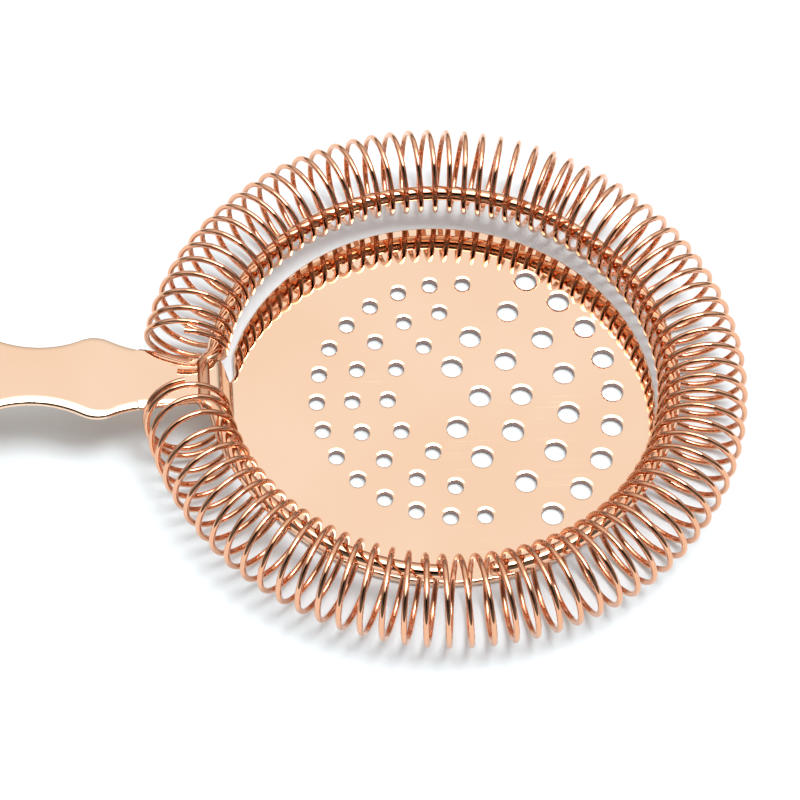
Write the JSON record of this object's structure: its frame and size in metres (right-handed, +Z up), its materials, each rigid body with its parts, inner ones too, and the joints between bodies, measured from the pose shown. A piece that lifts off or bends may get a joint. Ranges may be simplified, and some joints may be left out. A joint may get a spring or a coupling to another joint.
{
  "type": "hawthorne cocktail strainer",
  "caption": "Hawthorne cocktail strainer: round pierced disc with a scalloped flat handle, a split rod ring above it and a close coil spring threaded round the ring.",
  "frame": {"origin": "centre of the round disc on its underside, the face that the strainer rests on", "axes": "+Z up, -X from the disc along the handle, the split in the ring is on the -Y side"},
  "size_m": [0.1954, 0.0968, 0.0227],
  "materials": {
    "plated_sheet": "stainless steel sheet, mirror polished and plated rose gold",
    "plated_rod": "round steel rod, polished and plated rose gold",
    "plated_wire": "drawn spring steel wire, bright, plated rose gold"
  },
  "bodies": {
    "strainer_body": {"disc_and_handle": "plated_sheet", "ring_long_arm": "plated_rod", "ring_short_arm": "plated_rod"},
    "spring": {"coil_spring": "plated_wire"}
  },
  "joints": [
    {"name": "spring_turn", "type": "hinge", "parent": "strainer_body", "child": "spring", "pos_m": [0, 0, 0.0078], "axis": [0, 0, 1], "range_deg": [-0.5, 1.5]}
  ]
}
